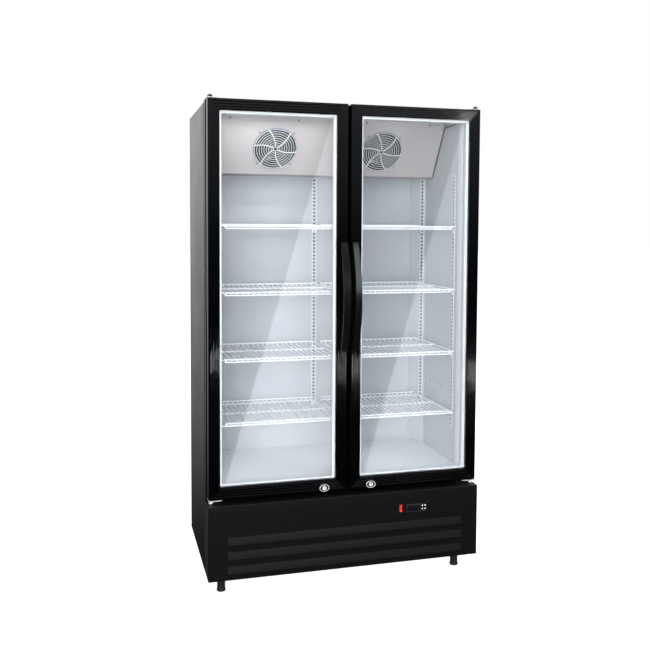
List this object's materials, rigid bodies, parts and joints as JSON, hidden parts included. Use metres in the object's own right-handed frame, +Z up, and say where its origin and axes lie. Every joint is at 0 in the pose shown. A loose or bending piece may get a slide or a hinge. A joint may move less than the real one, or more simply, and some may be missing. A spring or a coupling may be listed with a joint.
{
  "type": "glass door merchandiser",
  "caption": "Upright refrigerated merchandiser with hinged glass doors, wire shelves and a bottom-mounted cooling unit.",
  "frame": {"origin": "middle of the whole object's box at floor level, under the four feet", "axes": "+Z up, the longest side; +Y from the doors towards the back; +X to the right seen from the front"},
  "size_m": [1.12, 0.662, 1.9338],
  "materials": {
    "black_paint": "gloss",
    "charcoal_paint": "satin",
    "frame_black": "gloss",
    "white_liner": "satin",
    "cover_grey": "satin",
    "foam": "matte",
    "galvanised": "satin",
    "zinc": "satin",
    "coil_metal": "satin",
    "compressor_black": "satin",
    "white_steel": "gloss",
    "black_plastic": "matte",
    "rubber": "matte",
    "red_plastic": "gloss",
    "key_white": "satin",
    "handle_black": "gloss",
    "chrome": "polished",
    "lamp_white": "satin",
    "glass": "polished"
  },
  "bodies": {
    "cabinet": {"side_panel_left": "black_paint", "side_panel_right": "black_paint", "top_panel": "black_paint", "back_panel": "galvanised", "front_frame": "frame_black", "insulation_foam": "foam", "liner_left": "white_liner", "liner_right": "white_liner", "liner_back": "white_liner", "liner_floor": "white_liner", "liner_ceiling": "white_liner", "lamp_bar": "lamp_white", "shelf_standard_centre": "white_steel", "shelf_standard_front_left": "white_steel", "shelf_standard_front_right": "white_steel", "shelf_standard_rear_left": "white_steel", "shelf_standard_rear_right": "white_steel", "evaporator_cover": "cover_grey", "evaporator_coil": "coil_metal", "fan_guard_left": "white_steel", "fan_guard_right": "white_steel", "base_front_panel": "charcoal_paint", "controller": "black_plastic", "base_pan": "galvanised", "compressor": "compressor_black", "condenser_unit": "coil_metal", "hinge_top_left": "zinc", "hinge_top_right": "zinc", "hinge_bottom_left": "zinc", "hinge_bottom_right": "zinc"},
    "door_left": {"door_frame_left": "frame_black", "glass_unit_left": "glass", "door_gasket_left": "rubber", "door_handle_left": "handle_black"},
    "lock_left": {"door_lock_left": "chrome"},
    "door_right": {"door_frame_right": "frame_black", "glass_unit_right": "glass", "door_gasket_right": "rubber", "door_handle_right": "handle_black"},
    "lock_right": {"door_lock_right": "chrome"},
    "evaporator_fan_left": {"evaporator_fan_left": "black_plastic"},
    "evaporator_fan_right": {"evaporator_fan_right": "black_plastic"},
    "condenser_fan": {"condenser_fan": "black_plastic"},
    "power_switch": {"power_switch": "red_plastic"},
    "controller_key_1": {"controller_key_1": "key_white"},
    "controller_key_2": {"controller_key_2": "key_white"},
    "controller_key_3": {"controller_key_3": "key_white"},
    "controller_key_4": {"controller_key_4": "key_white"},
    "foot_front_left": {"foot_front_left": "black_plastic"},
    "foot_front_right": {"foot_front_right": "black_plastic"},
    "foot_rear_left": {"foot_rear_left": "black_plastic"},
    "foot_rear_right": {"foot_rear_right": "black_plastic"},
    "shelf_1_left": {"shelf_1_left": "white_steel"},
    "shelf_1_right": {"shelf_1_right": "white_steel"},
    "shelf_2_left": {"shelf_2_left": "white_steel"},
    "shelf_2_right": {"shelf_2_right": "white_steel"},
    "shelf_3_left": {"shelf_3_left": "white_steel"},
    "shelf_3_right": {"shelf_3_right": "white_steel"},
    "shelf_4_left": {"shelf_4_left": "white_steel"},
    "shelf_4_right": {"shelf_4_right": "white_steel"}
  },
  "joints": [
    {"name": "door_left_hinge", "type": "hinge", "parent": "cabinet", "child": "door_left", "pos_m": [-0.545, -0.244, 1.151], "axis": [0, 0, -1], "range_deg": [0, 110]},
    {"name": "lock_left_turn", "type": "hinge", "parent": "door_left", "child": "lock_left", "pos_m": [-0.097, -0.269, 0.403], "axis": [0, 1, 0], "range_deg": [0, 90]},
    {"name": "door_right_hinge", "type": "hinge", "parent": "cabinet", "child": "door_right", "pos_m": [0.545, -0.244, 1.151], "axis": [0, 0, 1], "range_deg": [0, 110]},
    {"name": "lock_right_turn", "type": "hinge", "parent": "door_right", "child": "lock_right", "pos_m": [0.097, -0.269, 0.403], "axis": [0, 1, 0], "range_deg": [0, 90]},
    {"name": "evaporator_fan_left_spin", "type": "hinge", "parent": "cabinet", "child": "evaporator_fan_left", "pos_m": [-0.235, 0.03713, 1.76597], "axis": [0, -0.8512, -0.5248], "continuous": true},
    {"name": "evaporator_fan_right_spin", "type": "hinge", "parent": "cabinet", "child": "evaporator_fan_right", "pos_m": [0.235, 0.03713, 1.76597], "axis": [0, -0.8512, -0.5248], "continuous": true},
    {"name": "condenser_fan_spin", "type": "hinge", "parent": "cabinet", "child": "condenser_fan", "pos_m": [0.23, -0.119, 0.217], "axis": [0, 1, 0], "continuous": true},
    {"name": "power_switch_rock", "type": "hinge", "parent": "cabinet", "child": "power_switch", "pos_m": [0.223, -0.279, 0.297], "axis": [1, 0, 0], "range_deg": [0, 14]},
    {"name": "controller_key_1_press", "type": "slide", "parent": "cabinet", "child": "controller_key_1", "axis": [0, 1, 0], "range_m": [0, 0.001], "stiffness_N_per_m": 400},
    {"name": "controller_key_2_press", "type": "slide", "parent": "cabinet", "child": "controller_key_2", "axis": [0, 1, 0], "range_m": [0, 0.001], "stiffness_N_per_m": 400},
    {"name": "controller_key_3_press", "type": "slide", "parent": "cabinet", "child": "controller_key_3", "axis": [0, 1, 0], "range_m": [0, 0.001], "stiffness_N_per_m": 400},
    {"name": "controller_key_4_press", "type": "slide", "parent": "cabinet", "child": "controller_key_4", "axis": [0, 1, 0], "range_m": [0, 0.001], "stiffness_N_per_m": 400},
    {"name": "foot_front_left_screw", "type": "hinge", "parent": "cabinet", "child": "foot_front_left", "pos_m": [-0.4985, -0.194, 0.08], "axis": [0, 0, 1], "continuous": true},
    {"name": "foot_front_right_screw", "type": "hinge", "parent": "cabinet", "child": "foot_front_right", "pos_m": [0.4985, -0.194, 0.08], "axis": [0, 0, 1], "continuous": true},
    {"name": "foot_rear_left_screw", "type": "hinge", "parent": "cabinet", "child": "foot_rear_left", "pos_m": [-0.4985, 0.276, 0.08], "axis": [0, 0, 1], "continuous": true},
    {"name": "foot_rear_right_screw", "type": "hinge", "parent": "cabinet", "child": "foot_rear_right", "pos_m": [0.4985, 0.276, 0.08], "axis": [0, 0, 1], "continuous": true},
    {"name": "shelf_1_left_lift", "type": "slide", "parent": "cabinet", "child": "shelf_1_left", "axis": [0, 0, 1], "range_m": [0, 0.025]},
    {"name": "shelf_1_right_lift", "type": "slide", "parent": "cabinet", "child": "shelf_1_right", "axis": [0, 0, 1], "range_m": [0, 0.025]},
    {"name": "shelf_2_left_lift", "type": "slide", "parent": "cabinet", "child": "shelf_2_left", "axis": [0, 0, 1], "range_m": [0, 0.025]},
    {"name": "shelf_2_right_lift", "type": "slide", "parent": "cabinet", "child": "shelf_2_right", "axis": [0, 0, 1], "range_m": [0, 0.025]},
    {"name": "shelf_3_left_lift", "type": "slide", "parent": "cabinet", "child": "shelf_3_left", "axis": [0, 0, 1], "range_m": [0, 0.025]},
    {"name": "shelf_3_right_lift", "type": "slide", "parent": "cabinet", "child": "shelf_3_right", "axis": [0, 0, 1], "range_m": [0, 0.025]},
    {"name": "shelf_4_left_lift", "type": "slide", "parent": "cabinet", "child": "shelf_4_left", "axis": [0, 0, 1], "range_m": [0, 0.025]},
    {"name": "shelf_4_right_lift", "type": "slide", "parent": "cabinet", "child": "shelf_4_right", "axis": [0, 0, 1], "range_m": [0, 0.025]}
  ]
}
